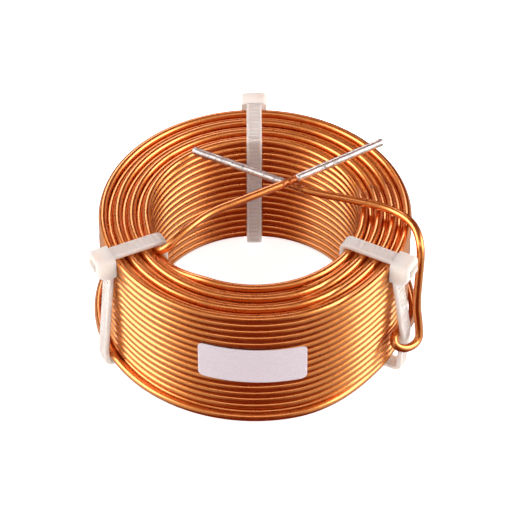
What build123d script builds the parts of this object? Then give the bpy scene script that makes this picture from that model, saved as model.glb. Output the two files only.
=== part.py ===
from build123d import *
from math import cos, degrees, radians, sin, sqrt, tan
import os

# An air-core coil of enamelled copper wire, held together by three nylon cable ties.
# Sizes are in millimetres. The coil's axis is Z, and the undersides of the ties rest on z = 0.
# The wire starts at the bore, is wound in nested layers, and makes one last turn round the foot.

# The wire
copper_diameter = 1.50
enamel_thickness = 0.05
turn_gap = 0.03

# The winding: each layer nests in the grooves of the one before, so every second layer has one turn less
bore_diameter = 40.2
layers = 7
full_layer_turns = 16
groove_depth = 0.45

# The last turn: it steps out of the outer layer and lies against the wall
last_turn_gap = 0.03
last_turn_lift = 0.25
last_turn_start_angle = 285
last_turn_end_angle = 12
step_out_radius = 25
step_out_sweep = 42

# The cable ties, and the bulge of the right one over the lead that passes under it
strap_width = 3.0
strap_thickness = 1.1
strap_corner_radius = 0.5
tie_clearance = 0.05
rear_tie_angle = 90.4
left_tie_angle = 205.5
right_tie_angle = 331.5
lead_bulge = 0.55
lead_bulge_height = 7.6

# The head of a tie, with the stub of its cut tail
head_width = 5.0
head_height = 4.9
head_depth = 3.8
head_bevel = 1.3
head_rounding = 0.6
head_side_rounding = 0.4
tail_width = 2.4
tail_drop = 1.6
cut_tail_length = 0.7

# The ends of the leads
stripped_length = 3.4
tin_thickness = 0.08
tin_on_tip = 0.45
tip_bevel = 0.35

# The value label
label_width = 20.9
label_height = 8.5
label_thickness = 0.12
label_glue = 0.02
label_corner_radius = 0.75
label_angle = 269.1
label_foot = 9.15

# What follows from those sizes
wire = copper_diameter + 2 * enamel_thickness
row_pitch = wire + turn_gap
layer_pitch = sqrt(wire**2 - (row_pitch / 2) ** 2) + turn_gap / 2
bore_radius = bore_diameter / 2
inner_layer_radius = bore_radius + wire / 2
outer_layer_radius = inner_layer_radius + (layers - 1) * layer_pitch
wall_radius = outer_layer_radius + wire / 2
winding_foot = strap_thickness + tie_clearance
first_row_height = winding_foot + wire / 2
winding_top = first_row_height + (full_layer_turns - 1) * row_pitch + wire / 2
crown_half_width = wire / (2 * sqrt(3))
last_turn_radius = outer_layer_radius + wire + last_turn_gap
last_turn_height = first_row_height + last_turn_lift
strap_inside = sqrt(bore_radius**2 - (strap_width / 2) ** 2) - tie_clearance
strap_outside = wall_radius + tie_clearance
strap_round_last_turn = last_turn_radius + wire / 2 + tie_clearance
strap_over_lead = strap_round_last_turn + lead_bulge
head_top = winding_top + tie_clearance + strap_thickness


def on_ring(radius, angle, height):
    """A point at an angle about the coil's axis."""
    return (radius * cos(radians(angle)), radius * sin(radians(angle)), height)


def wall_outline(valley_radius, crest_radius):
    """The crests and valleys of the turns up one wall, from the lowest turn to the highest."""
    points = []
    for row in range(full_layer_turns):
        height = first_row_height + row * row_pitch
        points.append((crest_radius, height))
        if row < full_layer_turns - 1:
            points.append((valley_radius, height + row_pitch / 2))
    return points


def end_outline(crown_height, floor_height):
    """The crowns and floors of the nested layers on one end face, from the inner layer outwards."""
    points = []
    for layer in range(layers):
        centre = inner_layer_radius + layer * layer_pitch
        height = floor_height if layer % 2 else crown_height
        points.append((centre - crown_half_width, height))
        points.append((centre + crown_half_width, height))
    return points


def wound_body():
    """The packed turns as one ring, with a crest for each turn that shows."""
    outer_wall = wall_outline(wall_radius - groove_depth, wall_radius)
    inner_wall = wall_outline(bore_radius + groove_depth, bore_radius)
    top = end_outline(winding_top, winding_top - row_pitch / 2)
    foot = end_outline(winding_foot, winding_foot + row_pitch / 2)
    outline = outer_wall + top[::-1] + inner_wall[::-1] + foot
    section = make_face(Plane.XZ * Polyline(*outline, close=True))
    return revolve(section, Axis.Z)


def bend_radii(route):
    """The largest bend at each corner of a wire's route that the straight runs beside it leave room for."""
    radii = []
    for before, corner, after in zip(route, route[1:], route[2:]):
        run_in = Vector(*corner) - Vector(*before)
        run_out = Vector(*after) - Vector(*corner)
        half_turn = radians(run_in.get_angle(run_out)) / 2
        radii.append(0.45 * min(run_in.length, run_out.length) / tan(half_turn))
    return radii


def bent_path(route):
    """Straight runs between the points of a route, joined by bends."""
    return FilletPolyline(*route, radius=bend_radii(route))


def round_wire(path):
    """The enamelled wire along a smooth path."""
    section = Plane(origin=path @ 0, z_dir=path % 0) * Circle(wire / 2)
    return sweep(section, path=path)


def straight_rod(start, end, diameter):
    """A straight round rod between two points."""
    run = end - start
    return extrude(Plane(origin=start, z_dir=run) * Circle(diameter / 2), run.length)


def start_route():
    """The start lead, from the inner layer's top turn, under the left tie and up across the core to its tip.

    Each point is wire diameters inwards, degrees past the left tie, and wire diameters above the top turn.
    The enamel ends at the last point but one.
    """
    points = [
        (0.0, -12.0, 0.0),
        (-0.25, -4.5, 0.0),
        (-0.3, 4.2, 0.0),
        (0.45, 9.0, 0.2),
        (1.9, 8.6, 0.75),
        (4.0, 6.5, 1.45),
        (7.25, 0.0, 2.05),
        (11.4, -1.8, 2.5),
        (16.75, 6.4, 2.8),
        (31.1, 4.9, 3.45),
    ]
    top_turn_height = winding_top - wire / 2
    return [
        on_ring(inner_layer_radius - inward * wire, left_tie_angle + around, top_turn_height + rise * wire)
        for inward, around, rise in points
    ]


def finish_route():
    """The finish lead: up the wall, under the right tie, back over it, up beside it and inwards to its tip.

    The enamel ends at the last point but one.
    """
    under_strap = strap_over_lead - tie_clearance - wire / 2
    over_strap = strap_over_lead + strap_thickness + tie_clearance + wire / 2
    turn_end = last_turn_end_angle - right_tie_angle + 360
    climb = [
        (last_turn_radius, turn_end, last_turn_height),
        (last_turn_radius + 0.2 * wire, turn_end - 9.5, last_turn_height),
        (last_turn_radius + 0.2 * wire, 20.5, last_turn_height + 0.8 * wire),
        (last_turn_radius + 0.3 * wire, 11.0, last_turn_height + 2.05 * wire),
        (under_strap, 3.0, last_turn_height + 3.2 * wire),
        (under_strap, -4.0, last_turn_height + 3.5 * wire),
    ]
    fold = [
        (under_strap + 0.75 * wire, -6.8, last_turn_height + 2.75 * wire),
        (over_strap + 0.4 * wire, -4.0, last_turn_height + 1.9 * wire),
        (over_strap + 1.1 * wire, 2.3, last_turn_height + 1.9 * wire),
    ]
    riser = [
        (over_strap + 0.4 * wire, 3.7, last_turn_height + 4.1 * wire),
        (over_strap - 0.2 * wire, 3.9, winding_top / 2 + 1.2 * wire),
        (over_strap - 0.4 * wire, 6.6, winding_top - 3.6 * wire),
        (over_strap - 0.6 * wire, 10.0, winding_top + 0.1 * wire),
    ]
    across = [
        (wall_radius + 0.5 * wire, 18.0, winding_top + 1.1 * wire),
        (wall_radius - 2.5 * wire, 26.7, winding_top + 0.7 * wire),
        (wall_radius - 6.6 * wire, 32.9, winding_top + 0.7 * wire),
        (wall_radius - 11.56 * wire, 47.4, winding_top + 0.75 * wire),
        (wall_radius - 12.2 * wire, 53.9, winding_top + 0.78 * wire),
        (wall_radius - 6.6 * wire, 157.1, winding_top + 1.2 * wire),
    ]
    return [
        on_ring(radius, right_tie_angle + around, height)
        for radius, around, height in climb + fold + riser + across
    ]


def last_turn_path():
    """The path of the turn that steps out of the outer layer and runs once round the foot."""
    start = radians(last_turn_start_angle)
    inset = last_turn_radius - step_out_radius
    step_centre = (inset * cos(start), inset * sin(start))
    step = CenterArc(step_centre, step_out_radius, last_turn_start_angle + step_out_sweep, -step_out_sweep)
    sweep_round = last_turn_end_angle - last_turn_start_angle
    turn = CenterArc((0, 0), last_turn_radius, last_turn_start_angle, sweep_round)
    return Pos(0, 0, last_turn_height) * Wire([*step.edges(), *turn.edges()])


def last_turn_and_finish_lead():
    """The last turn and the finish lead, which are one stretch of wire."""
    lead = bent_path(finish_route()[:-1])
    return round_wire(Wire([*last_turn_path().edges(), *lead.edges()]))


def start_lead():
    """The start lead, with its first end inside the inner layer's top turn."""
    return round_wire(bent_path(start_route()[:-1]))


def bare_end(route):
    """The copper core of a lead's straight end, from the enamel to just inside the tin on its tip."""
    enamel_end, tip = Vector(*route[-2]), Vector(*route[-1])
    direction = (tip - enamel_end).normalized()
    return straight_rod(enamel_end, tip - direction * tin_on_tip, copper_diameter)


def tin_coat(route):
    """The coat of solder on a lead's end, closed over its tip."""
    enamel_end, tip = Vector(*route[-2]), Vector(*route[-1])
    direction = (tip - enamel_end).normalized()
    coat = straight_rod(enamel_end + direction * stripped_length, tip, copper_diameter + 2 * tin_thickness)
    tip_edge = coat.edges().filter_by(GeomType.CIRCLE).sort_by_distance(tip)[0]
    return chamfer(tip_edge, tip_bevel) - bare_end(route)


def winding_wire():
    """The whole wire: the packed turns, the last turn, and both leads with their bare ends."""
    enamelled = wound_body() + last_turn_and_finish_lead() + start_lead()
    return enamelled + bare_end(start_route()) + bare_end(finish_route())


def strap_loop(bulge, bulge_height):
    """A strap drawn tight round the winding and its last turn."""
    outline = [
        (strap_inside, winding_foot - tie_clearance),
        (strap_round_last_turn, winding_foot - tie_clearance),
        (strap_round_last_turn + bulge, bulge_height),
        (strap_outside, head_top - head_height),
        (strap_outside, winding_top + tie_clearance),
        (strap_inside, winding_top + tie_clearance),
    ]
    inside = make_face(Plane.XZ * Polyline(*outline, close=True))
    inside = fillet(inside.vertices(), strap_corner_radius)
    outside = offset(inside, amount=strap_thickness, kind=Kind.ARC)
    return extrude(outside - inside, strap_width / 2, both=True)


def tie_head():
    """The head of a tie, bevelled below and rounded above, with the stub of the cut tail at its back."""
    head = Pos(strap_outside + head_depth / 2, 0, head_top - head_height / 2) * Box(
        head_depth, head_width, head_height
    )
    back = head.faces().sort_by(Axis.X)[-1]
    head = chamfer(back.edges().sort_by(Axis.Z)[0], head_bevel)
    head = fillet(head.faces().sort_by(Axis.Z)[-1].edges().sort_by(Axis.X)[-1], head_rounding)
    sides = head.edges().filter_by(Axis.Z)
    head = fillet(sides, head_side_rounding)
    tail_length = head_depth / 2 + cut_tail_length
    tail = Box(tail_length, tail_width, strap_thickness)
    tail_middle = strap_outside + head_depth / 2 + tail_length / 2
    return head + Pos(tail_middle, 0, head_top - strap_thickness / 2 - tail_drop) * tail


def cable_tie(angle, bulge=0.1, bulge_height=4.0):
    """One nylon tie, with its head on the outer wall at an angle about the coil's axis."""
    return Rot(0, 0, angle) * (strap_loop(bulge, bulge_height) + tie_head())


def value_label():
    """The paper label, curved round the front of the outer wall."""
    radius = wall_radius + label_glue
    half_angle = degrees(label_width / 2 / radius)
    ring = Circle(radius + label_thickness) - Circle(radius)
    reach = 2 * radius
    side = reach * tan(radians(half_angle))
    wedge = make_face(Polyline((0, 0), (reach, -side), (reach, side), close=True))
    sheet = extrude(ring & wedge, label_height)
    corners = [edge for edge in sheet.edges() if abs(edge.length - label_thickness) < label_glue]
    sheet = fillet(corners, label_corner_radius)
    return Pos(0, 0, label_foot) * Rot(0, 0, label_angle) * sheet


parts = {
    "winding_wire": winding_wire(),
    "start_lead_tin": tin_coat(start_route()),
    "finish_lead_tin": tin_coat(finish_route()),
    "cable_tie_rear": cable_tie(rear_tie_angle),
    "cable_tie_left": cable_tie(left_tie_angle),
    "cable_tie_right": cable_tie(right_tie_angle, lead_bulge, lead_bulge_height),
    "value_label": value_label(),
}

os.makedirs("parts", exist_ok=True)
for name, piece in parts.items():
    export_step(piece, f"parts/{name}.step")
    print(name, round(piece.volume, 1), "mm3", piece.bounding_box())
print("bends of the start lead", [round(radius, 1) for radius in bend_radii(start_route()[:-1])])
print("bends of the finish lead", [round(radius, 1) for radius in bend_radii(finish_route()[:-1])])
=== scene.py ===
# %% [markdown]
# An air-core inductor of a loudspeaker crossover: 110 turns of enamelled copper wire, three nylon
# cable ties, a paper label and two tinned leads.
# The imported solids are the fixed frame. Everything below is built around them, in metres, with +Z up.

# %% Load the fixed frame
import math
import random

import bmesh
import bpy
from mathutils import Matrix, Vector, noise


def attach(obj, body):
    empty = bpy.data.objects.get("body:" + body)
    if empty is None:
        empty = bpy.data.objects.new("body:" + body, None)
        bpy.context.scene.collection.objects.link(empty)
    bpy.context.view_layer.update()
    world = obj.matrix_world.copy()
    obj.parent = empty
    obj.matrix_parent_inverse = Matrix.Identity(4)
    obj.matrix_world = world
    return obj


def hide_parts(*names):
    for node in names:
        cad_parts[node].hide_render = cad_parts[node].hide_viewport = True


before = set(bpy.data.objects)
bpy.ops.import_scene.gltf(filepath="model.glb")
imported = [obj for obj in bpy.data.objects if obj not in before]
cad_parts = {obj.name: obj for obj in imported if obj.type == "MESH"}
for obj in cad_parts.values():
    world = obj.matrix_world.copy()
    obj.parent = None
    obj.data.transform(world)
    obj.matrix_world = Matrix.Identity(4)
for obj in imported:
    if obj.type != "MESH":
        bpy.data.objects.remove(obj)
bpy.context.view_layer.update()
MM = 0.001
print("solids in the frame:", sorted(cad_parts))

# %% [markdown]
# The camera stands where the photograph was taken from: far off with a long lens, 43 degrees above
# the table. A long lens keeps the rings of the coil nearly elliptical, which a near camera would not.
# The aim lies a little above the middle of the coil, because the object sits a little low in the picture.

# %% Camera
PICTURE_WIDTH = 510
FOCAL_PIXELS = 3030
SENSOR = 36.0
CAMERA_DISTANCE = 590 * MM
CAMERA_HEIGHT_ANGLE = math.radians(43.37)
AIM = Vector((0, 0, 14.15 * MM))
AIM_ABOVE_MIDDLE = 0.86 * MM


def put(name, data):
    """A new object in the scene, at the origin."""
    made = bpy.data.objects.new(name, data)
    bpy.context.scene.collection.objects.link(made)
    return made


def place_camera():
    """The camera looks along +Y, down onto the coil."""
    rise, reach = math.sin(CAMERA_HEIGHT_ANGLE), math.cos(CAMERA_HEIGHT_ANGLE)
    picture_up = Vector((0, rise, reach))
    data = bpy.data.cameras.new("camera")
    data.sensor_width = SENSOR
    data.lens = FOCAL_PIXELS / PICTURE_WIDTH * SENSOR
    data.clip_start = 10 * MM
    camera = put("camera", data)
    camera.location = AIM + picture_up * AIM_ABOVE_MIDDLE + Vector((0, -reach, rise)) * CAMERA_DISTANCE
    camera.rotation_euler = (math.pi / 2 - CAMERA_HEIGHT_ANGLE, 0, 0)
    bpy.context.scene.camera = camera
    print("lens", round(data.lens, 1), "mm")


place_camera()

# %% [markdown]
# Three helpers serve the finishes. The first turns the hex colour that a picture editor shows into the
# linear values that a shader works with. The second adds a node, sets it up and wires its inputs, so
# that a material below reads like a list of what it does, and it serves the trees of geometry nodes
# too. The third starts a material. Nodes could also be joined by hand in the editor, but a script says
# what was done.

# %% Helpers for colours and nodes
def linear(hex_colour):
    """An sRGB hex colour as linear red, green and blue, with full alpha."""
    channels = [int(hex_colour[i : i + 2], 16) / 255 for i in (1, 3, 5)]
    curve = [c / 12.92 if c <= 0.04045 else ((c + 0.055) / 1.055) ** 2.4 for c in channels]
    return (*curve, 1.0)


def add(tree, kind, inputs=None, stops=None, **settings):
    """One node with its settings, values and links. A colour ramp also gets (place, hex colour) stops."""
    node = tree.nodes.new(kind)
    for name, value in settings.items():
        setattr(node, name, value)
    for key, value in (inputs or {}).items():
        if isinstance(value, bpy.types.NodeSocket):
            tree.links.new(value, node.inputs[key])
        else:
            node.inputs[key].default_value = value
    if stops:
        elements = node.color_ramp.elements
        while len(elements) < len(stops):
            elements.new(1.0)
        for element, (place, hex_colour) in zip(elements, stops):
            element.position = place
            element.color = linear(hex_colour)
    return node


def material(name):
    """An empty material with its shader; gives the material, its tree and the shader."""
    made = bpy.data.materials.new(name)
    made.use_nodes = True
    tree = made.node_tree
    tree.nodes.clear()
    shader = tree.nodes.new("ShaderNodeBsdfPrincipled")
    output = tree.nodes.new("ShaderNodeOutputMaterial")
    tree.links.new(shader.outputs["BSDF"], output.inputs["Surface"])
    print("finish:", name)
    return made, tree, shader


# %% [markdown]
# The wire is bright drawn copper under a clear, pale amber enamel, baked on in many thin coats.
# The copper underneath gives a coloured mirror, and the enamel on top gives a second, sharper gloss.
# The shader's coat does the second job, with a pale amber tint. Light that goes from turn to turn is
# coloured each time, which makes the grooves between the turns a deep red brown.
# Drawing leaves faint lines along the wire. Noise that is long along the wire and short across it
# gives them. The real lines are too fine to show, so these are coarser. Winding leaves small, slightly
# duller rubs.
# One painted gloss could give the colour, but its shine would not follow the room as a mirror does.

# %% Enamelled copper wire
DRAW_LINE_SPACING = 0.12 * MM
DRAW_LINE_STRETCH = 60.0
RUB_SIZE = 1.4 * MM


def enamelled_copper():
    made, tree, shader = material("enamelled_copper_wire")
    place = add(tree, "ShaderNodeTexCoord").outputs["Object"]
    along = add(tree, "ShaderNodeAttribute", attribute_name="along").outputs["Fac"]
    section = add(tree, "ShaderNodeAttribute", attribute_name="section").outputs["Vector"]
    section = add(tree, "ShaderNodeSeparateXYZ", {"Vector": section}).outputs
    on_wire = add(tree, "ShaderNodeCombineXYZ", {"X": section["X"], "Y": section["Y"], "Z": along})
    stretch = add(tree, "ShaderNodeMapping", {"Vector": on_wire.outputs["Vector"],
                                              "Scale": (DRAW_LINE_STRETCH, DRAW_LINE_STRETCH, 1.0)})
    lines = add(tree, "ShaderNodeTexNoise", {"Vector": stretch.outputs["Vector"], "Detail": 1.0,
                                             "Scale": 1 / (DRAW_LINE_STRETCH * DRAW_LINE_SPACING)})
    rubs = add(tree, "ShaderNodeTexNoise", {"Vector": place, "Scale": 1 / RUB_SIZE, "Detail": 2.0})
    colour = add(tree, "ShaderNodeValToRGB", {"Fac": rubs.outputs["Fac"]},
                 stops=[(0.3, "#DE9044"), (0.7, "#E8994C")])
    tree.links.new(colour.outputs["Color"], shader.inputs["Base Color"])
    dullness = add(tree, "ShaderNodeMapRange", {"Value": rubs.outputs["Fac"], "From Min": 0.35,
                                                "From Max": 0.75, "To Min": 0.27, "To Max": 0.32})
    tree.links.new(dullness.outputs["Result"], shader.inputs["Roughness"])
    bump = add(tree, "ShaderNodeBump", {"Height": lines.outputs["Fac"], "Strength": 0.03,
                                        "Distance": 0.01 * MM})
    tree.links.new(bump.outputs["Normal"], shader.inputs["Normal"])
    shader.inputs["Metallic"].default_value = 1.0
    shader.inputs["Coat Weight"].default_value = 1.0
    shader.inputs["Coat Roughness"].default_value = 0.15
    shader.inputs["Coat IOR"].default_value = 1.55
    shader.inputs["Coat Tint"].default_value = linear("#FFF0DC")
    return made


ENAMELLED_COPPER = enamelled_copper()

# %% [markdown]
# Where the enamel was scraped off for soldering, the copper is bare: duller, pinker and scratched,
# with burnt brown scraps of enamel left on it. Painted maps could show this too, but two layers of
# noise need no unwrapping and leave no seam round the rod.

# %% Scraped copper
SCRAPE_SPACING = 0.25 * MM
SCRAP_SIZE = 0.6 * MM


def scraped_copper():
    made, tree, shader = material("scraped_copper")
    place = add(tree, "ShaderNodeTexCoord").outputs["Object"]
    scraps = add(tree, "ShaderNodeTexNoise", {"Vector": place, "Scale": 1 / SCRAP_SIZE, "Detail": 4.0})
    scrapes = add(tree, "ShaderNodeTexNoise", {"Vector": place, "Scale": 1 / SCRAPE_SPACING, "Detail": 2.0})
    colour = add(tree, "ShaderNodeValToRGB", {"Fac": scraps.outputs["Fac"]},
                 stops=[(0.36, "#6E2A0C"), (0.5, "#C06A38"), (0.66, "#E0935C")])
    tree.links.new(colour.outputs["Color"], shader.inputs["Base Color"])
    bump = add(tree, "ShaderNodeBump", {"Height": scrapes.outputs["Fac"], "Strength": 0.5,
                                        "Distance": 0.08 * MM})
    tree.links.new(bump.outputs["Normal"], shader.inputs["Normal"])
    shader.inputs["Metallic"].default_value = 0.9
    shader.inputs["Roughness"].default_value = 0.42
    return made


SCRAPED_COPPER = scraped_copper()

# %% [markdown]
# The ends were dipped in molten solder. It freezes bright, with soft lumps along its length and grey
# streaks where the flux burnt on. The lumps are in the mesh, because they show in the outline, and the
# streaks are in the shader. A displaced shader could give the lumps too, but an export drops it.

# %% Solder
STREAK_SIZE = 0.7 * MM


def solder():
    made, tree, shader = material("dipped_solder")
    place = add(tree, "ShaderNodeTexCoord").outputs["Object"]
    streaks = add(tree, "ShaderNodeTexNoise", {"Vector": place, "Scale": 1 / STREAK_SIZE, "Detail": 5.0,
                                               "Roughness": 0.6})
    colour = add(tree, "ShaderNodeValToRGB", {"Fac": streaks.outputs["Fac"]},
                 stops=[(0.32, "#7A7672"), (0.43, "#D4D2D0"), (0.65, "#F6F5F4")])
    tree.links.new(colour.outputs["Color"], shader.inputs["Base Color"])
    dullness = add(tree, "ShaderNodeMapRange", {"Value": streaks.outputs["Fac"], "From Min": 0.3,
                                                "From Max": 0.6, "To Min": 0.45, "To Max": 0.28})
    tree.links.new(dullness.outputs["Result"], shader.inputs["Roughness"])
    bump = add(tree, "ShaderNodeBump", {"Height": streaks.outputs["Fac"], "Strength": 0.25,
                                        "Distance": 0.05 * MM})
    tree.links.new(bump.outputs["Normal"], shader.inputs["Normal"])
    shader.inputs["Metallic"].default_value = 1.0
    return made


SOLDER = solder()

# %% [markdown]
# The ties are moulded from natural nylon: milky, a little see-through, with a satin skin. Light that
# enters scatters inside, so the shader gets some subsurface, and a little transmission lets the warm
# colour of the wire through where the strap is thin. A volume inside the mesh could scatter the light
# more truly, but it needs far more samples.

# %% Natural nylon
MOTTLE_SIZE = 3.0 * MM


def natural_nylon():
    made, tree, shader = material("natural_nylon")
    place = add(tree, "ShaderNodeTexCoord").outputs["Object"]
    mottle = add(tree, "ShaderNodeTexNoise", {"Vector": place, "Scale": 1 / MOTTLE_SIZE, "Detail": 3.0})
    colour = add(tree, "ShaderNodeValToRGB", {"Fac": mottle.outputs["Fac"]},
                 stops=[(0.3, "#F9EDE4"), (0.7, "#FEF8F1")])
    tree.links.new(colour.outputs["Color"], shader.inputs["Base Color"])
    bump = add(tree, "ShaderNodeBump", {"Height": mottle.outputs["Fac"], "Strength": 0.15,
                                        "Distance": 0.1 * MM})
    tree.links.new(bump.outputs["Normal"], shader.inputs["Normal"])
    shader.inputs["Roughness"].default_value = 0.4
    shader.inputs["IOR"].default_value = 1.53
    shader.inputs["Subsurface Weight"].default_value = 0.6
    shader.inputs["Subsurface Radius"].default_value = (1.0, 0.8, 0.65)
    shader.inputs["Subsurface Scale"].default_value = 1.5 * MM
    shader.inputs["Transmission Weight"].default_value = 0.35
    return made


NATURAL_NYLON = natural_nylon()

# %% [markdown]
# The label is matt self-adhesive paper with fine fibres, a pale grey with a hint of lilac. The strong
# studio light turns it nearly white. A picture of paper could give the fibres, but noise does it
# without a file. Real fibres are finer than these, which are drawn coarse enough to show.

# %% Label paper
FIBRE_SIZE = 0.35 * MM


def label_paper():
    made, tree, shader = material("label_paper")
    place = add(tree, "ShaderNodeTexCoord").outputs["Object"]
    fibres = add(tree, "ShaderNodeTexNoise", {"Vector": place, "Scale": 1 / FIBRE_SIZE, "Detail": 4.0})
    colour = add(tree, "ShaderNodeValToRGB", {"Fac": fibres.outputs["Fac"]},
                 stops=[(0.3, "#B9B1B8"), (0.7, "#C3BCC2")])
    tree.links.new(colour.outputs["Color"], shader.inputs["Base Color"])
    bump = add(tree, "ShaderNodeBump", {"Height": fibres.outputs["Fac"], "Strength": 0.2,
                                        "Distance": 0.02 * MM})
    tree.links.new(bump.outputs["Normal"], shader.inputs["Normal"])
    shader.inputs["Roughness"].default_value = 0.55
    return made


LABEL_PAPER = label_paper()

# %% [markdown]
# Every stretch of wire is a round section carried along a path. A small tree of geometry nodes does
# this for all of them: it takes a line of points, turns it into a curve, sweeps a circle along it and
# closes its ends. It also writes how far along the wire each point is and where it lies in the
# section, so that a finish can follow the wire. A bevelled curve object could do it too, but without
# those two values.

# %% The tree that draws wire along a path
def socket_id(tree, name):
    """The identifier of a tree's input."""
    return next(item.identifier for item in tree.interface.items_tree
                if item.item_type == "SOCKET" and item.in_out == "INPUT" and item.name == name)


def wire_tree():
    tree = bpy.data.node_groups.new("wire along a path", "GeometryNodeTree")
    tree.interface.new_socket("Path", in_out="INPUT", socket_type="NodeSocketGeometry")
    tree.interface.new_socket("Wire Diameter", in_out="INPUT", socket_type="NodeSocketFloat")
    tree.interface.new_socket("Sides", in_out="INPUT", socket_type="NodeSocketInt")
    tree.interface.new_socket("Finish", in_out="INPUT", socket_type="NodeSocketMaterial")
    tree.interface.new_socket("Wire", in_out="OUTPUT", socket_type="NodeSocketGeometry")
    given = add(tree, "NodeGroupInput").outputs
    curve = add(tree, "GeometryNodeMeshToCurve", {"Mesh": given["Path"]}).outputs["Curve"]
    length = add(tree, "GeometryNodeSplineParameter").outputs["Length"]
    curve = add(tree, "GeometryNodeStoreNamedAttribute",
                {"Geometry": curve, "Name": "along", "Value": length}).outputs["Geometry"]
    radius = add(tree, "ShaderNodeMath", {0: given["Wire Diameter"], 1: 0.5}, operation="MULTIPLY").outputs[0]
    circle = add(tree, "GeometryNodeCurvePrimitiveCircle",
                 {"Resolution": given["Sides"], "Radius": radius}).outputs["Curve"]
    place = add(tree, "GeometryNodeInputPosition").outputs["Position"]
    circle = add(tree, "GeometryNodeStoreNamedAttribute",
                 {"Geometry": circle, "Name": "section", "Value": place},
                 data_type="FLOAT_VECTOR").outputs["Geometry"]
    swept = add(tree, "GeometryNodeCurveToMesh",
                {"Curve": curve, "Profile Curve": circle, "Fill Caps": True}).outputs["Mesh"]
    smooth = add(tree, "GeometryNodeSetShadeSmooth", {"Geometry": swept}).outputs["Geometry"]
    whole = add(tree, "GeometryNodeRealizeInstances", {"Geometry": smooth}).outputs["Geometry"]
    finished = add(tree, "GeometryNodeSetMaterial", {"Geometry": whole, "Material": given["Finish"]})
    add(tree, "NodeGroupOutput", {"Wire": finished.outputs["Geometry"]})
    return tree


WIRE_TREE = wire_tree()

# %% [markdown]
# A tree runs as a modifier on a plain line of points. Its result is then kept as an ordinary mesh,
# because the part is handed over as meshes. Fourteen sides are enough for a wire this thin: the
# smooth shading hides the corners, and the outline stays round at the size of the picture.

# %% From a path to a finished piece
WIRE_SIDES = 14


def run_tree(holder, tree, values):
    """Puts a tree of geometry nodes on an object, with values for its inputs."""
    modifier = holder.modifiers.new(tree.name, "NODES")
    modifier.node_group = tree
    for name, value in values.items():
        modifier[socket_id(tree, name)] = value


def baked(holder, name):
    """The plain mesh that an object's modifiers give, as a new object in its place."""
    bpy.context.view_layer.update()
    evaluated = holder.evaluated_get(bpy.context.evaluated_depsgraph_get())
    mesh = bpy.data.meshes.new_from_object(evaluated)
    for modifier in list(holder.modifiers):
        holder.modifiers.remove(modifier)
    bpy.data.objects.remove(holder)
    mesh.name = name
    return put(name, mesh)


def draw_wire(name, points, diameter, finish):
    """A piece of round wire along a line of points."""
    line = bpy.data.meshes.new(name)
    line.from_pydata([tuple(p) for p in points], [(i, i + 1) for i in range(len(points) - 1)], [])
    holder = put(name, line)
    run_tree(holder, WIRE_TREE, {"Wire Diameter": diameter, "Sides": WIRE_SIDES, "Finish": finish})
    piece = baked(holder, name)
    print(name, "has", sum(len(p.vertices) - 2 for p in piece.data.polygons), "triangles")
    return piece


def smooth_mesh(shape, name, finish):
    """A shape as a mesh with smooth shading and one finish."""
    mesh = bpy.data.meshes.new(name)
    shape.to_mesh(mesh)
    shape.free()
    mesh.materials.append(finish)
    for polygon in mesh.polygons:
        polygon.use_smooth = True
    return mesh


def finish_piece(piece, node):
    """The piece rides on the part's one body and stands for its solid, which is hidden."""
    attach(piece, "root")
    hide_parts(node)


# %% [markdown]
# The winding is one wire in seven layers. Each layer nests in the grooves of the one before, so the
# even layers have one turn less and sit half a pitch higher or lower. A turn runs level almost all
# the way round and moves up or down by one row within a short arc, as a winding machine lays it. At
# the end of a layer that arc carries the wire out to the next layer instead.
# The turns are worked out as one long path of angle, radius and height. Angles are in degrees about
# the coil's axis, from +X towards +Y.

# %% Sizes of the wire and the winding
COPPER_DIAMETER = 1.50 * MM
ENAMEL = 0.05 * MM
WIRE = COPPER_DIAMETER + 2 * ENAMEL
TURN_GAP = 0.03 * MM
ROW_PITCH = WIRE + TURN_GAP
LAYER_PITCH = math.sqrt(WIRE**2 - (ROW_PITCH / 2) ** 2) + TURN_GAP / 2
LAYERS = 7
FULL_LAYER_TURNS = 16
BORE_RADIUS = 20.1 * MM
INNER_RADIUS = BORE_RADIUS + WIRE / 2
OUTER_RADIUS = INNER_RADIUS + (LAYERS - 1) * LAYER_PITCH
WALL_RADIUS = OUTER_RADIUS + WIRE / 2
WINDING_FOOT = 1.15 * MM
FIRST_ROW = WINDING_FOOT + WIRE / 2
WINDING_TOP = FIRST_ROW + (FULL_LAYER_TURNS - 1) * ROW_PITCH + WIRE / 2
LAST_TURN_LIFT = 0.25 * MM
LAST_TURN_RADIUS = OUTER_RADIUS + WIRE + TURN_GAP
LAST_TURN_HEIGHT = FIRST_ROW + LAST_TURN_LIFT
LAST_TURN_END = 12
LEFT_TIE_ANGLE = 205.5
RIGHT_TIE_ANGLE = 331.5
REAR_TIE_ANGLE = 90.4
print("winding", round(2 * WALL_RADIUS / MM, 2), "mm across")
print("winding", round((WINDING_TOP - WINDING_FOOT) / MM, 2), "mm high")

# %% [markdown]
# The first layer is wound downwards and the next one upwards, and so on outwards. Only the turns that
# can be seen are drawn: the first and the last layer, and two rows at the top and the bottom of the
# others. All of them could be drawn, but the hidden ones would only make the part heavier.

# %% The order of the turns, from the bore outwards
def turns_in_order():
    """(radius, height, shown) of each turn."""
    turns = []
    for layer in range(LAYERS):
        count = FULL_LAYER_TURNS - layer % 2
        lowest = FIRST_ROW + (layer % 2) * ROW_PITCH / 2
        rows = range(count) if layer % 2 else reversed(range(count))
        for row in rows:
            shown = layer in (0, LAYERS - 1) or row < 2 or row > count - 3
            turns.append((INNER_RADIUS + layer * LAYER_PITCH, lowest + row * ROW_PITCH, shown))
    return turns


TURNS = turns_in_order()
print(len(TURNS), "turns in the layers, of which", sum(shown for _, _, shown in TURNS), "show")

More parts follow.
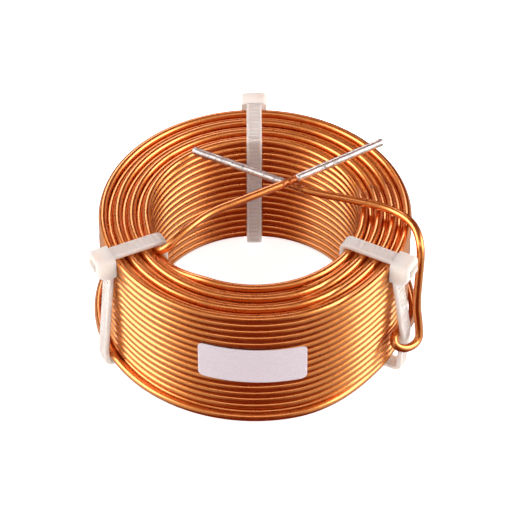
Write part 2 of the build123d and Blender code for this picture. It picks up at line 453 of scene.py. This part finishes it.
# %% [markdown]
# The path is measured by the angle that the wire has wound through, clockwise as seen from above,
# from the left tie, where the start lead comes in. The inner layer moves to its next row just before
# it meets that lead. All other layers move at the front right, where the photograph shows the rings
# crossing over. A slow wander of a few hundredths of a millimetre keeps the rows from looking turned
# on a lathe. It is random, with a fixed seed for each turn, and it fades out at the ends of a turn.

# %% The path of the winding
ENTRY_ANGLE = LEFT_TIE_ANGLE - 0.5
INNER_STEP = (318, 350)
OUTER_STEP = (243, 281)
POINTS_PER_TURN = 160
WANDER = 0.025 * MM
WANDER_FADE = 20
RADIUS_SEED = 1
HEIGHT_SEED = 2
SEED_STRIDE = 100003
TURN_STRIDE = 31


def smooth_step(value):
    """From 0 to 1 with a soft start and a soft end."""
    value = min(max(value, 0.0), 1.0)
    return value * value * (3 - 2 * value)


def step_spans():
    """Where the wire moves from each turn to the next, in degrees wound."""
    spans = []
    for i in range(len(TURNS)):
        begin, end = INNER_STEP if i < FULL_LAYER_TURNS else OUTER_STEP
        spans.append((360 * i + begin, 360 * i + end))
    return spans


SPANS = step_spans()
STOPS = [(radius, height) for radius, height, _ in TURNS] + [(LAST_TURN_RADIUS, LAST_TURN_HEIGHT)]


def wander(wound, seed):
    """A slow drift of one turn's radius or height. The last turn lies tight and has none."""
    turn = int(wound // 360)
    if turn >= len(TURNS):
        return 0.0
    drift = 0.0
    for order in (1, 2, 3):
        chance = random.Random(seed * SEED_STRIDE + turn * TURN_STRIDE + order)
        phase = chance.uniform(0, math.tau)
        drift += math.sin(order * math.radians(wound) + phase) / order
    fade = smooth_step((wound % 360) / WANDER_FADE) * smooth_step((360 - wound % 360) / WANDER_FADE)
    return drift * WANDER * fade


def on_ring(radius, angle, height):
    """A point at an angle in degrees about the coil's axis."""
    return Vector((radius * math.cos(math.radians(angle)), radius * math.sin(math.radians(angle)), height))


def point_on_winding(wound):
    """The middle of the wire after so many degrees of winding."""
    index = next((i for i, span in enumerate(SPANS) if wound < span[1]), len(SPANS))
    radius, height = STOPS[index]
    if index < len(SPANS):
        begin, end = SPANS[index]
        share = smooth_step((wound - begin) / (end - begin))
        radius += (STOPS[index + 1][0] - radius) * share
        height += (STOPS[index + 1][1] - height) * share
    radius += wander(wound, RADIUS_SEED)
    height += wander(wound, HEIGHT_SEED)
    return on_ring(radius, ENTRY_ANGLE - wound, height)


def winding_points(begin, end):
    """Points along the winding between two angles wound."""
    count = max(2, round((end - begin) / 360 * POINTS_PER_TURN))
    return [point_on_winding(begin + (end - begin) * i / count) for i in range(count + 1)]


# %% [markdown]
# The leads are bent by hand. Their bends are a short list of points, and a smooth curve touches the
# middle of each run between them. The start lead leaves the top turn of the inner layer under the
# left tie and climbs over the core. The finish lead climbs the wall from the last turn, goes under
# the right tie, folds back over it and rises beside it. Both end in a straight tinned length.

# %% Where the right tie lets the lead pass
STRAP_THICKNESS = 1.1 * MM
TIE_CLEARANCE = 0.05 * MM
LEAD_BULGE = 0.55 * MM
STRAP_ROUND_LAST_TURN = LAST_TURN_RADIUS + WIRE / 2 + TIE_CLEARANCE
STRAP_OVER_LEAD = STRAP_ROUND_LAST_TURN + LEAD_BULGE
UNDER_STRAP = STRAP_OVER_LEAD - TIE_CLEARANCE - WIRE / 2
OVER_STRAP = STRAP_OVER_LEAD + STRAP_THICKNESS + TIE_CLEARANCE + WIRE / 2

# %% [markdown]
# A bend of the start lead is given by three numbers: how far it lies inside the first layer, in wire
# diameters, its angle from the left tie in degrees, and its height above the top turn, in wire
# diameters. A bend of the finish lead is its radius, its angle from the right tie and its height.

# %% The routes of the leads
START_BENDS = [
    (0.0, -12.0, 0.0), (-0.25, -4.5, 0.0), (-0.3, 4.2, 0.0), (0.45, 9.0, 0.9), (1.9, 8.6, 1.7),
    (4.0, 6.5, 2.25), (7.25, 0.0, 2.5), (11.4, -1.8, 2.7), (16.75, 6.4, 2.8), (31.1, 4.9, 3.45),
]
TOP_TURN_HEIGHT = WINDING_TOP - WIRE / 2
START_ROUTE = [on_ring(INNER_RADIUS - inward * WIRE, LEFT_TIE_ANGLE + around, TOP_TURN_HEIGHT + rise * WIRE)
               for inward, around, rise in START_BENDS]
TURN_END = LAST_TURN_END - RIGHT_TIE_ANGLE + 360
CLIMB = [
    (LAST_TURN_RADIUS, TURN_END, LAST_TURN_HEIGHT),
    (LAST_TURN_RADIUS + 0.2 * WIRE, TURN_END - 9.5, LAST_TURN_HEIGHT),
    (LAST_TURN_RADIUS + 0.2 * WIRE, 20.5, LAST_TURN_HEIGHT + 0.8 * WIRE),
    (LAST_TURN_RADIUS + 0.3 * WIRE, 11.0, LAST_TURN_HEIGHT + 2.05 * WIRE),
    (UNDER_STRAP, 3.0, LAST_TURN_HEIGHT + 4.3 * WIRE),
    (UNDER_STRAP, -4.0, LAST_TURN_HEIGHT + 4.9 * WIRE),
]
FOLD = [
    (UNDER_STRAP + 0.75 * WIRE, -6.6, LAST_TURN_HEIGHT + 4.3 * WIRE),
    (OVER_STRAP + 0.2 * WIRE, -4.0, LAST_TURN_HEIGHT + 3.6 * WIRE),
    (OVER_STRAP + 0.8 * WIRE, 1.5, LAST_TURN_HEIGHT + 3.6 * WIRE),
]
RISER = [
    (OVER_STRAP + 0.3 * WIRE, 3.4, LAST_TURN_HEIGHT + 5.6 * WIRE),
    (OVER_STRAP - 0.2 * WIRE, 3.9, WINDING_TOP / 2 + 1.2 * WIRE),
    (OVER_STRAP - 0.4 * WIRE, 6.6, WINDING_TOP - 3.6 * WIRE),
    (OVER_STRAP - 0.6 * WIRE, 10.0, WINDING_TOP + 0.1 * WIRE),
]
ACROSS = [
    (WALL_RADIUS + 0.5 * WIRE, 18.0, WINDING_TOP + 1.1 * WIRE),
    (WALL_RADIUS - 2.5 * WIRE, 26.7, WINDING_TOP + 0.7 * WIRE),
    (WALL_RADIUS - 6.6 * WIRE, 32.9, WINDING_TOP + 0.7 * WIRE),
    (WALL_RADIUS - 11.56 * WIRE, 47.4, WINDING_TOP + 0.75 * WIRE),
    (WALL_RADIUS - 12.2 * WIRE, 53.9, WINDING_TOP + 0.78 * WIRE),
    (WALL_RADIUS - 6.6 * WIRE, 157.1, WINDING_TOP + 1.2 * WIRE),
]
FINISH_ROUTE = [on_ring(radius, RIGHT_TIE_ANGLE + around, height)
                for radius, around, height in CLIMB + FOLD + RISER + ACROSS]


def smooth_line(points, steps=10):
    """Points along the smooth curve that the bends of a route control."""
    curve = bpy.data.curves.new("route", "CURVE")
    curve.dimensions = "3D"
    curve.resolution_u = steps
    spline = curve.splines.new("NURBS")
    spline.points.add(len(points) - 1)
    for knot, point in zip(spline.points, points):
        knot.co = (*point, 1.0)
    spline.order_u = 3
    spline.use_endpoint_u = True
    holder = put("route", curve)
    bpy.context.view_layer.update()
    mesh = bpy.data.meshes.new_from_object(holder.evaluated_get(bpy.context.evaluated_depsgraph_get()))
    line = [vertex.co.copy() for vertex in mesh.vertices]
    bpy.data.objects.remove(holder)
    bpy.data.meshes.remove(mesh)
    return line


# %% [markdown]
# Turns that follow each other and can all be seen are drawn as one stretch of wire. The first stretch
# begins with the start lead, which takes the place of its first few points, and the last one runs on
# into the finish lead, so neither lead has a joint where it leaves the coil.

# %% Wind the coil
POINTS_LEFT_TO_LEAD = 6


def shown_stretches():
    """The runs of turns that can be seen, as (first degree, last degree) wound."""
    stretches = []
    for i, (_, _, shown) in enumerate(TURNS):
        begin = SPANS[i - 1][0] if i else 0
        end = SPANS[i][1]
        if not shown:
            continue
        if stretches and begin <= stretches[-1][1]:
            stretches[-1][1] = end
        else:
            stretches.append([begin, end])
    return stretches


STRETCHES = shown_stretches()
WOUND_TO_LEAD = 360 * (len(TURNS) + 1) - (LAST_TURN_END - ENTRY_ANGLE) % 360
WINDING_PIECES = []
for number, (begin, end) in enumerate(STRETCHES):
    points = winding_points(begin, end)
    if number == 0:
        points = smooth_line(START_ROUTE[:-1])[::-1] + points[POINTS_LEFT_TO_LEAD:]
    if number == len(STRETCHES) - 1:
        points = winding_points(begin, WOUND_TO_LEAD) + smooth_line(FINISH_ROUTE[:-1])[1:]
    WINDING_PIECES.append(draw_wire(f"winding_stretch_{number + 1}", points, WIRE, ENAMELLED_COPPER))

for piece in WINDING_PIECES:
    finish_piece(piece, "winding_wire")

# %% [markdown]
# The last millimetres of each lead are stripped and tinned. They are straight round rods, but scraping
# and dipping leave them uneven. Each is built ring by ring, and a slow random drift makes the radius
# swell and shrink from ring to ring and from side to side. A displaced cylinder would do as well, but
# rings keep the tip's rounding exact.

# %% Uneven rods
ROD_SIDES = 20
RING_SPACING = 0.22 * MM
TIP_FACE_SHARE = 0.12


def uneven_rod(name, start, end, radius, depth, lump, seed, finish, tip_rounding=0.0):
    """A closed rod whose radius drifts by up to depth below the given radius, over lumps of a size.

    A rounded tip still ends in a flat face, with TIP_FACE_SHARE of the rod's section."""
    run = end - start
    turn = run.to_track_quat("Z", "Y").to_matrix()
    count = max(6, round(run.length / RING_SPACING))
    shape = bmesh.new()
    rings = []
    for i in range(count + 1):
        along = run.length * i / count
        to_tip = run.length - along
        rounding = 1.0
        if to_tip < tip_rounding:
            rounding = math.sqrt(max(1 - (1 - to_tip / tip_rounding) ** 2, TIP_FACE_SHARE))
        ring = []
        for side in range(ROD_SIDES):
            angle = math.tau * side / ROD_SIDES
            flat = Vector((math.cos(angle), math.sin(angle), 0))
            place = Vector((flat.x * radius, flat.y * radius, along)) / lump + Vector((seed, 0, 0))
            reach = radius * rounding - depth * (0.5 - 0.5 * noise.noise(place))
            ring.append(shape.verts.new(start + turn @ (flat * reach + Vector((0, 0, along)))))
        rings.append(ring)
    for lower, upper in zip(rings, rings[1:]):
        for side in range(ROD_SIDES):
            after = (side + 1) % ROD_SIDES
            shape.faces.new((lower[side], lower[after], upper[after], upper[side]))
    shape.faces.new(rings[0][::-1])
    shape.faces.new(rings[-1])
    bmesh.ops.recalc_face_normals(shape, faces=shape.faces)
    print(name, round(run.length / MM, 1), "mm long")
    return put(name, smooth_mesh(shape, name, finish))


# %% [markdown]
# Beyond the enamel come a few millimetres of scraped copper and then the tin, out to the tip. The
# scraped rod reaches a little way into the enamelled wire and into the tin, as the copper does, so no
# gap can open between them.

# %% The stripped and tinned ends
STRIPPED_LENGTH = 3.4 * MM
SCRAPED_RADIUS = COPPER_DIAMETER / 2 + 0.02 * MM
SCRAPE_DEPTH = 0.09 * MM
SCRAPE_LUMP = 0.9 * MM
REACH_INTO_ENAMEL = 0.3 * MM
REACH_INTO_TIN = 0.4 * MM
TIN_RADIUS = COPPER_DIAMETER / 2 + 0.08 * MM
TIN_DEPTH = 0.1 * MM
TIN_LUMP = 1.6 * MM
TIP_ROUNDING = 0.5 * MM
TIN_SEED_STEP = 5


def lead_end(lead, route, seed):
    """The scraped copper and the tin beyond the last of a lead's enamel."""
    enamel_end, tip = route[-2], route[-1]
    direction = (tip - enamel_end).normalized()
    tin_start = enamel_end + direction * STRIPPED_LENGTH
    copper_start = enamel_end - direction * REACH_INTO_ENAMEL
    copper_end = tin_start + direction * REACH_INTO_TIN
    copper = uneven_rod(f"{lead}_scraped_copper", copper_start, copper_end, SCRAPED_RADIUS, SCRAPE_DEPTH,
                        SCRAPE_LUMP, seed, SCRAPED_COPPER)
    finish_piece(copper, "winding_wire")
    tin = uneven_rod(f"{lead}_solder", tin_start, tip, TIN_RADIUS, TIN_DEPTH, TIN_LUMP,
                     seed + TIN_SEED_STEP, SOLDER, TIP_ROUNDING)
    finish_piece(tin, f"{lead}_tin")


lead_end("start_lead", START_ROUTE, seed=3.7)
lead_end("finish_lead", FINISH_ROUTE, seed=11.2)

# %% [markdown]
# A cable tie is one moulding: a toothed strap and a square head. The strap goes down the wall, under
# the winding, up the core and over the top, and its end goes through the head, where it is cut off.
# The strap is drawn in its own plane, as a closed line with rounded corners, and a flat section with
# two raised rims is carried along it. The teeth show as rungs between the rims.

# %% The line of a strap
STRAP_WIDTH = 3.0 * MM
STRAP_CORNER = 0.5 * MM
STRAP_EDGE = 0.38 * MM
RIM_WIDTH = 0.5 * MM
RIM_HEIGHT = 0.09 * MM
HEAD_HEIGHT = 4.9 * MM
HEAD_TOP = WINDING_TOP + TIE_CLEARANCE + STRAP_THICKNESS
STRAP_INSIDE = math.sqrt((INNER_RADIUS - WIRE / 2) ** 2 - (STRAP_WIDTH / 2) ** 2) - TIE_CLEARANCE
STRAP_OUTSIDE = WALL_RADIUS + TIE_CLEARANCE


def strap_corners(bulge, bulge_height):
    """The corners of a strap's inner face, outwards from the axis and up."""
    below = WINDING_FOOT - TIE_CLEARANCE
    above = WINDING_TOP + TIE_CLEARANCE
    return [Vector(corner) for corner in [
        (STRAP_INSIDE, below), (STRAP_ROUND_LAST_TURN, below), (STRAP_ROUND_LAST_TURN + bulge, bulge_height),
        (STRAP_OUTSIDE, HEAD_TOP - HEAD_HEIGHT), (STRAP_OUTSIDE, above), (STRAP_INSIDE, above),
    ]]


def rounded_loop(corners, radius, step=8):
    """(point, outward direction) along a closed line whose corners are rounded."""
    loop = []
    for i, corner in enumerate(corners):
        before, after = corners[i - 1], corners[(i + 1) % len(corners)]
        run_in = (corner - before).normalized()
        run_out = (after - corner).normalized()
        half = run_in.angle(run_out) / 2
        cut = radius * math.tan(half)
        side_in = Vector((run_in.y, -run_in.x))
        side_out = Vector((run_out.y, -run_out.x))
        centre = corner - run_in * cut - side_in * radius
        for k in range(step + 1):
            side = (side_in * (1 - k / step) + side_out * (k / step)).normalized()
            loop.append((centre + side * radius, side))
    return loop


def strap_section():
    """The strap's section: (across, outwards) from the middle of its inner face."""
    flat, rim = STRAP_WIDTH / 2 - STRAP_EDGE, STRAP_WIDTH / 2 - RIM_WIDTH
    right = []
    for degrees in (-90, -60, -30, 0, 0, 30, 60, 90):
        angle = math.radians(degrees)
        middle = STRAP_EDGE if len(right) < 4 else STRAP_THICKNESS - STRAP_EDGE
        right.append((flat + STRAP_EDGE * math.cos(angle), middle + STRAP_EDGE * math.sin(angle)))
    right.append((rim, STRAP_THICKNESS - RIM_HEIGHT))
    return right + [(-across, out) for across, out in right[::-1]]


def strap_mesh(loop):
    """The strap as a closed band."""
    shape = bmesh.new()
    section = strap_section()
    rings = []
    for point, side in loop:
        rings.append([shape.verts.new((point.x + side.x * out, across, point.y + side.y * out))
                      for across, out in section])
    for i, ring in enumerate(rings):
        after = rings[(i + 1) % len(rings)]
        for k in range(len(section)):
            n = (k + 1) % len(section)
            shape.faces.new((ring[k], ring[n], after[n], after[k]))
    bmesh.ops.recalc_face_normals(shape, faces=shape.faces)
    return shape


# %% [markdown]
# The head is a small block with a shallow window, and the cut end of the strap stands out of it. The
# block is drawn by its side, a wide bevel rounds all its free edges, as the mould does, and its outer
# face is inset and pushed in for the window.

# %% The head of a tie
HEAD_WIDTH = 5.0 * MM
HEAD_DEPTH = 3.8 * MM
HEAD_BEVEL = 1.3 * MM
HEAD_ROUNDING = 0.85 * MM
WINDOW_BORDER = 0.2 * MM
WINDOW_SLOPE = 0.12 * MM
WINDOW_DEPTH = 0.2 * MM
ON_WALL = 0.01 * MM
TAIL_WIDTH = 2.4 * MM
TAIL_DROP = 1.6 * MM
TAIL_ROOT = 0.4 * MM
TAIL_SLANT = 0.15 * MM
TAIL_ROUNDING = 0.3 * MM
CUT_TAIL_LENGTH = 0.5 * MM


def block(outline, width):
    """A block whose side has an outline of (outwards, up) corners."""
    shape = bmesh.new()
    left = [shape.verts.new((x, -width / 2, z)) for x, z in outline]
    right = [shape.verts.new((x, width / 2, z)) for x, z in outline]
    shape.faces.new(left[::-1])
    shape.faces.new(right)
    for i in range(len(outline)):
        n = (i + 1) % len(outline)
        shape.faces.new((left[i], left[n], right[n], right[i]))
    bmesh.ops.recalc_face_normals(shape, faces=shape.faces)
    return shape


def head_shape():
    """The head, bevelled below, with its window. The edges that lie on the wall stay sharp."""
    inner, outer = STRAP_OUTSIDE, STRAP_OUTSIDE + HEAD_DEPTH
    foot, top = HEAD_TOP - HEAD_HEIGHT, HEAD_TOP
    shape = block([(inner, foot), (outer - HEAD_BEVEL, foot), (outer, foot + HEAD_BEVEL), (outer, top),
                   (inner, top)], HEAD_WIDTH)
    free = [edge for edge in shape.edges if max(vertex.co.x for vertex in edge.verts) > inner + ON_WALL]
    bmesh.ops.bevel(shape, geom=free, offset=HEAD_ROUNDING, segments=5, profile=0.5, affect="EDGES",
                    clamp_overlap=True)
    back = max(shape.faces, key=lambda face: face.calc_center_median().x)
    bmesh.ops.inset_individual(shape, faces=[back], thickness=WINDOW_BORDER, depth=0.0)
    bmesh.ops.inset_individual(shape, faces=[back], thickness=WINDOW_SLOPE, depth=-WINDOW_DEPTH)
    return shape


def tail_shape():
    """The stub that is left of the strap's end, cut off a little aslant."""
    start = STRAP_OUTSIDE + HEAD_DEPTH - WINDOW_DEPTH - TAIL_ROOT
    end = STRAP_OUTSIDE + HEAD_DEPTH + CUT_TAIL_LENGTH
    top = HEAD_TOP - TAIL_DROP
    foot = top - STRAP_THICKNESS
    shape = block([(start, foot), (end - TAIL_SLANT, foot), (end, top), (start, top)], TAIL_WIDTH)
    bmesh.ops.bevel(shape, geom=list(shape.edges), offset=TAIL_ROUNDING, segments=3, profile=0.6,
                    affect="EDGES", clamp_overlap=True)
    return shape


# %% [markdown]
# The rungs of the strap repeat, so a tree of geometry nodes sets them out: it takes the strap's line,
# divides it at the spacing of the teeth, puts a small bar at each point, and turns it with the line.
# An array modifier repeats along a straight run easily, but here the line goes round six corners.

# %% The tree that sets out the rungs
RUNG_SPACING = 1.05 * MM
RUNG_LENGTH = 0.5 * MM
RUNG_SINK = RIM_HEIGHT / 4


def rung_tree():
    tree = bpy.data.node_groups.new("rungs along a strap", "GeometryNodeTree")
    tree.interface.new_socket("Line", in_out="INPUT", socket_type="NodeSocketGeometry")
    tree.interface.new_socket("Spacing", in_out="INPUT", socket_type="NodeSocketFloat")
    tree.interface.new_socket("Size", in_out="INPUT", socket_type="NodeSocketVector")
    tree.interface.new_socket("Finish", in_out="INPUT", socket_type="NodeSocketMaterial")
    tree.interface.new_socket("Rungs", in_out="OUTPUT", socket_type="NodeSocketGeometry")
    given = add(tree, "NodeGroupInput").outputs
    curve = add(tree, "GeometryNodeMeshToCurve", {"Mesh": given["Line"]}).outputs["Curve"]
    points = add(tree, "GeometryNodeCurveToPoints", {"Curve": curve, "Length": given["Spacing"]},
                 mode="LENGTH")
    along = add(tree, "FunctionNodeAlignRotationToVector", {"Vector": points.outputs["Tangent"]}, axis="X",
                pivot_axis="Y")
    bar = add(tree, "GeometryNodeMeshCube", {"Size": given["Size"]})
    bars = add(tree, "GeometryNodeInstanceOnPoints", {"Points": points.outputs["Points"],
                                                      "Instance": bar.outputs["Mesh"],
                                                      "Rotation": along.outputs["Rotation"]})
    whole = add(tree, "GeometryNodeRealizeInstances", {"Geometry": bars.outputs["Instances"]})
    finished = add(tree, "GeometryNodeSetMaterial", {"Geometry": whole.outputs["Geometry"],
                                                     "Material": given["Finish"]})
    add(tree, "NodeGroupOutput", {"Rungs": finished.outputs["Geometry"]})
    return tree


RUNG_TREE = rung_tree()


def rungs(name, loop):
    """The rungs of one strap, in the strap's own plane, sunk a little into the strap."""
    middle = STRAP_THICKNESS - RIM_HEIGHT / 2 - RUNG_SINK
    line = [point + side * middle for point, side in loop]
    mesh = bpy.data.meshes.new(name)
    mesh.from_pydata([(p.x, 0, p.y) for p in line], [(i, (i + 1) % len(line)) for i in range(len(line))], [])
    holder = put(name, mesh)
    bar = (RUNG_LENGTH, STRAP_WIDTH - 2 * RIM_WIDTH, RIM_HEIGHT)
    run_tree(holder, RUNG_TREE, {"Spacing": RUNG_SPACING, "Size": bar, "Finish": NATURAL_NYLON})
    return baked(holder, name)


# %% [markdown]
# The three ties are the same moulding, turned to their places round the coil. The rear and the left
# one lie nearly straight down the wall. The right one bulges, because the finish lead passes under it.
# Each could be one copied object, but their straps differ, so each is drawn from its own line.

# %% Fit the three ties
SHARP_ANGLE = math.radians(35)
BAR_CORNERS = 8
TIE_SLACK = 0.1 * MM
SLACK_HEIGHT = 4.0 * MM
LEAD_BULGE_HEIGHT = 9.8 * MM


def fit_tie(place, angle, bulge, bulge_height):
    """One tie: strap, head and tail in one piece, and its rungs."""
    loop = rounded_loop(strap_corners(bulge, bulge_height), STRAP_CORNER)
    whole = bmesh.new()
    for shape in (strap_mesh(loop), head_shape(), tail_shape()):
        part = bpy.data.meshes.new("part")
        shape.to_mesh(part)
        shape.free()
        whole.from_mesh(part)
        bpy.data.meshes.remove(part)
    turn = Matrix.Rotation(math.radians(angle), 4, "Z")
    tie = put(f"tie_{place}", smooth_mesh(whole, f"tie_{place}", NATURAL_NYLON))
    tie.data.set_sharp_from_angle(angle=SHARP_ANGLE)
    tie.data.transform(turn)
    finish_piece(tie, f"cable_tie_{place}")
    teeth = rungs(f"tie_{place}_rungs", loop)
    teeth.data.transform(turn)
    finish_piece(teeth, f"cable_tie_{place}")
    print(tie.name, "has", len(teeth.data.vertices) // BAR_CORNERS, "rungs")


fit_tie("rear", REAR_TIE_ANGLE, TIE_SLACK, SLACK_HEIGHT)
fit_tie("left", LEFT_TIE_ANGLE, TIE_SLACK, SLACK_HEIGHT)
fit_tie("right", RIGHT_TIE_ANGLE, LEAD_BULGE, LEAD_BULGE_HEIGHT)

# %% [markdown]
# The label is a slip of paper stuck round the wall. It spans the crests of the turns and sinks a
# little between them, and it was stuck on slightly askew. A flat sheet and a bend modifier could curve
# it, but a grid worked out round the wall shows the sinking and the slant too.

# %% The label
LABEL_WIDTH = 20.9 * MM
LABEL_HEIGHT = 8.5 * MM
LABEL_CORNER = 1.1 * MM
LABEL_THICKNESS = 0.1 * MM
LABEL_ANGLE = 269.1
LABEL_FOOT = 10.8 * MM
LABEL_TILT = 0.028
LABEL_SINK = 0.05 * MM
LABEL_GLUE = 0.03 * MM
LABEL_ROWS = 44
LABEL_COLUMNS = 60


def label():
    """The blank label, with its thickness."""
    radius = WALL_RADIUS + LABEL_GLUE
    shape = bmesh.new()
    rows = []
    for i in range(LABEL_ROWS + 1):
        up = LABEL_HEIGHT * (0.5 - 0.5 * math.cos(math.pi * i / LABEL_ROWS))
        to_edge = min(up, LABEL_HEIGHT - up)
        cut = LABEL_CORNER - math.sqrt(max(LABEL_CORNER**2 - max(LABEL_CORNER - to_edge, 0) ** 2, 0))
        half = LABEL_WIDTH / 2 - cut
        row = []
        for k in range(LABEL_COLUMNS + 1):
            across = half * (2 * k / LABEL_COLUMNS - 1)
            height = LABEL_FOOT + up - across * LABEL_TILT
            dip = LABEL_SINK * (0.5 - 0.5 * math.cos(math.tau * (height - FIRST_ROW) / ROW_PITCH))
            angle = LABEL_ANGLE + math.degrees(across / radius)
            row.append(shape.verts.new(on_ring(radius - dip, angle, height)))
        rows.append(row)
    for lower, upper in zip(rows, rows[1:]):
        for k in range(LABEL_COLUMNS):
            shape.faces.new((lower[k], lower[k + 1], upper[k + 1], upper[k]))
    holder = put("label", smooth_mesh(shape, "label", LABEL_PAPER))
    sheet = holder.modifiers.new("paper thickness", "SOLIDIFY")
    sheet.thickness = LABEL_THICKNESS
    sheet.offset = 1
    return baked(holder, "label")


finish_piece(label(), "value_label")

# %% [markdown]
# The coil stands on a white table between two large softboxes. A third one behind it draws the bright
# lines along the tops of the rings, and two more, above and in front, soften what lies between.
# Polished wire shows hardly anything but what it mirrors, so the dark, warm room between the lights
# matters as much as they do: it draws the deep red lines. A photographed room could light it too, but
# this one is drawn, so that its pale walls stand just where the wire needs them.

# %% Table and light
TABLE_REACH = 4.0
REAR_DIMMING = -1.2
WALL_EDGE = (0.2, 0.65)


def table():
    """A wide white table top, which the wire doesn't mirror."""
    mesh = bpy.data.meshes.new("table")
    reach = TABLE_REACH
    mesh.from_pydata([(-reach, -reach, 0), (reach, -reach, 0), (reach, reach, 0), (-reach, reach, 0)], [],
                     [(0, 1, 2, 3)])
    top = put("table", mesh)
    made, _, shader = material("white_table")
    shader.inputs["Base Color"].default_value = linear("#FAFAFA")
    shader.inputs["Roughness"].default_value = 0.9
    shader.inputs["Emission Color"].default_value = linear("#FFFFFF")
    shader.inputs["Emission Strength"].default_value = 0.8
    mesh.materials.append(made)
    top.visible_glossy = False


def softbox(name, place, size, watts):
    """A rectangular light that faces the coil."""
    data = bpy.data.lights.new(name, "AREA")
    data.shape = "RECTANGLE"
    data.size, data.size_y = size
    data.energy = watts
    lamp = put(name, data)
    lamp.location = place
    lamp.rotation_euler = (AIM - Vector(place)).to_track_quat("-Z", "Y").to_euler()
    print(name, watts, "W")


def room():
    """Pale walls to the left and right, and a dim, warm room in front, behind and above."""
    world = bpy.data.worlds.new("room")
    world.use_nodes = True
    tree = world.node_tree
    generated = add(tree, "ShaderNodeTexCoord").outputs["Generated"]
    direction = add(tree, "ShaderNodeSeparateXYZ", {"Vector": generated}).outputs
    sideways = add(tree, "ShaderNodeMath", {0: direction["X"]}, operation="ABSOLUTE").outputs[0]
    rear = add(tree, "ShaderNodeMath", {0: direction["Y"], 1: direction["Z"]}, operation="MULTIPLY")
    rear = add(tree, "ShaderNodeMath", {0: rear.outputs[0], 1: 0.0}, operation="MAXIMUM").outputs[0]
    pale = add(tree, "ShaderNodeMath", {0: rear, 1: REAR_DIMMING, 2: sideways}, operation="MULTIPLY_ADD")
    walls = add(tree, "ShaderNodeMapRange", {"Value": pale.outputs[0], "From Min": WALL_EDGE[0],
                                             "From Max": WALL_EDGE[1]},
                interpolation_type="SMOOTHSTEP").outputs["Result"]
    colour = add(tree, "ShaderNodeValToRGB", {"Fac": walls}, stops=[(0.0, "#7A3422"), (1.0, "#E4E2E0")])
    tree.links.new(colour.outputs["Color"], tree.nodes["Background"].inputs["Color"])
    bpy.context.scene.world = world


table()
softbox("softbox_left", (-0.55, -0.05, 0.30), (0.5, 0.5), 3.0)
softbox("softbox_right", (0.55, -0.05, 0.30), (0.5, 0.5), 3.4)
softbox("softbox_rear", (-0.15, 0.60, 0.45), (0.3, 0.25), 0.95)
softbox("softbox_above", (0.0, 0.0, 0.75), (0.5, 0.5), 0.15)
softbox("softbox_front", (0.0, -0.40, 0.65), (0.6, 0.2), 0.75)
room()
bpy.context.scene.view_settings.view_transform = "Standard"
